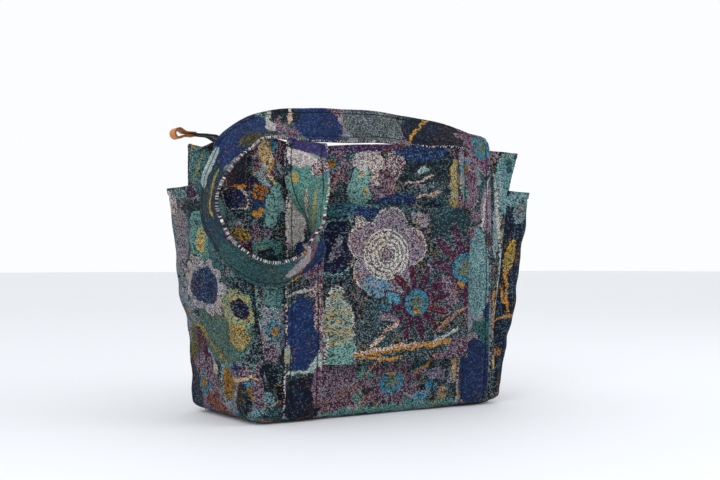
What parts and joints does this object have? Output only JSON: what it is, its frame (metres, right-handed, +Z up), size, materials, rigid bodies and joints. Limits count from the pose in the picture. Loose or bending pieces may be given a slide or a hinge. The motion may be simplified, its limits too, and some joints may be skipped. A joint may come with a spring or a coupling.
{
  "type": "carpet bag",
  "caption": "Tapestry tote with zipped top, long sewn-on handles, open end pockets, a trolley sleeve between the rear straps and a leather tab on the zip's tail.",
  "frame": {"origin": "on the floor under the centre of the base", "axes": "+Z up, +X along the bag away from the zip's tail, -Y out of the rear face that has the trolley sleeve"},
  "size_m": [0.5111, 0.3128, 0.3978],
  "materials": {
    "tapestry": "matt jacquard tapestry, dark floral",
    "lining_cloth": "plain dark cotton",
    "zip_tape": "black woven polyester",
    "zip_coil": "black nylon coil",
    "zip_metal": "antique brass",
    "tan_leather": "saffron leather with brown edges"
  },
  "bodies": {
    "bag": {"base_panel": "tapestry", "rear_panel": "tapestry", "front_panel": "tapestry", "left_end_panel": "tapestry", "right_end_panel": "tapestry", "left_end_pocket": "tapestry", "right_end_pocket": "tapestry", "trolley_sleeve": "tapestry", "rear_handle": "tapestry", "front_handle": "tapestry", "rear_zip_facing": "tapestry", "front_zip_facing": "tapestry", "lining": "lining_cloth", "rear_zip_tape": "zip_tape", "front_zip_tape": "zip_tape", "rear_zip_coil": "zip_coil", "front_zip_coil": "zip_coil", "zip_top_stops": "zip_metal", "zip_end_tab": "tan_leather"},
    "slider": {"zip_slider": "zip_metal"},
    "puller": {"zip_puller": "zip_metal"}
  },
  "joints": [
    {"name": "zip_slide", "type": "slide", "parent": "bag", "child": "slider", "axis": [1, 0, 0], "range_m": [-0.36, 0]},
    {"name": "puller_hinge", "type": "hinge", "parent": "slider", "child": "puller", "pos_m": [0.191, 0, 0.35175], "axis": [0, 1, 0], "range_deg": [0, 165]}
  ]
}
